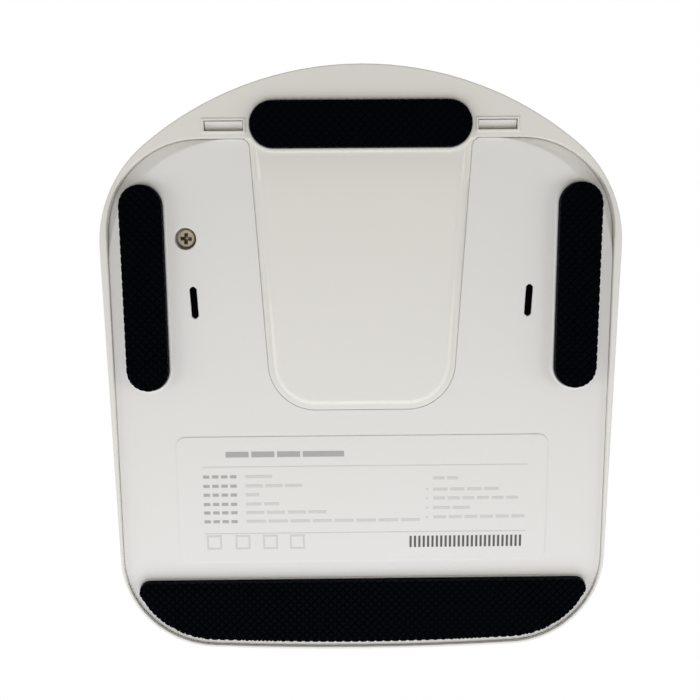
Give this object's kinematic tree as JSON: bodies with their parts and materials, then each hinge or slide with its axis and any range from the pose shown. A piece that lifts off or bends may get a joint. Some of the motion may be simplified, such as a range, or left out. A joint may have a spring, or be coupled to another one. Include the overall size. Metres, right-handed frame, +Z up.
{
  "type": "robot vacuum charging dock",
  "caption": "Charging dock with a low deck, an upright tower with a dark beacon window, sprung deck contacts, a rear cable bay and knurled rubber pads underneath.",
  "frame": {"origin": "on the floor under the middle of the plan", "axes": "+Z up, +Y from the deck to the tower's back, +X to the right seen from the front"},
  "size_m": [0.129, 0.1502, 0.098],
  "materials": {
    "case_white": "white moulded shell, fine satin skin",
    "base_white": "white moulded base, matt",
    "plate_white": "white moulded plate, matt",
    "bay_grey": "pale grey moulding",
    "window_dark": "dark infrared-clear resin, polished",
    "pipe_frosted": "frosted clear resin",
    "inlet_black": "black heat-proof resin",
    "pin_nickel": "nickel plate",
    "screw_nickel": "dull nickel plate",
    "board_laminate": "green solder resist",
    "transformer_tape": "yellow tape over a dark core",
    "capacitor_sleeve": "dark shrink sleeve",
    "capacitor_box": "moulded box",
    "choke_ferrite": "ferrite with lacquered wire",
    "package_black": "moulded resin",
    "fuse_case": "moulded case",
    "sink_aluminium": "plain sheet",
    "emitter_resin": "tinted resin",
    "lamp_resin": "diffuse resin",
    "pad_rubber": "black knurled rubber",
    "contact_nickel": "bright nickel plate",
    "cup_grey": "grey moulding",
    "spring_steel": "spring strip",
    "foam_black": "black closed-cell foam"
  },
  "bodies": {
    "dock": {"upper_case": "case_white", "lower_case": "base_white", "bottom_plate": "plate_white", "cable_bay": "bay_grey", "beacon_window": "window_dark", "indicator_pipe": "pipe_frosted", "mains_inlet": "inlet_black", "inlet_pins": "pin_nickel", "plate_screw": "screw_nickel", "power_board": "board_laminate", "beacon_board": "board_laminate", "transformer": "transformer_tape", "bulk_capacitor": "capacitor_sleeve", "output_capacitor": "capacitor_box", "choke": "choke_ferrite", "rectifier": "package_black", "fuse": "fuse_case", "heat_sink": "sink_aluminium", "beacon_emitters": "emitter_resin", "indicator_lamp": "lamp_resin", "rear_pad": "pad_rubber", "left_pad": "pad_rubber", "right_pad": "pad_rubber", "front_pad": "pad_rubber", "left_contact_cup": "cup_grey", "right_contact_cup": "cup_grey", "left_contact_spring": "spring_steel", "right_contact_spring": "spring_steel", "left_slot_seal": "foam_black", "right_slot_seal": "foam_black"},
    "left_contact": {"left_contact": "contact_nickel"},
    "right_contact": {"right_contact": "contact_nickel"}
  },
  "joints": [
    {"name": "left_contact_press", "type": "slide", "parent": "dock", "child": "left_contact", "axis": [0, 0, -1], "range_m": [0, 0.002], "stiffness_N_per_m": 400, "springref_m": -0.002, "deforming": ["left_contact_spring"]},
    {"name": "right_contact_press", "type": "slide", "parent": "dock", "child": "right_contact", "axis": [0, 0, -1], "range_m": [0, 0.002], "stiffness_N_per_m": 400, "springref_m": -0.002, "deforming": ["right_contact_spring"]}
  ]
}
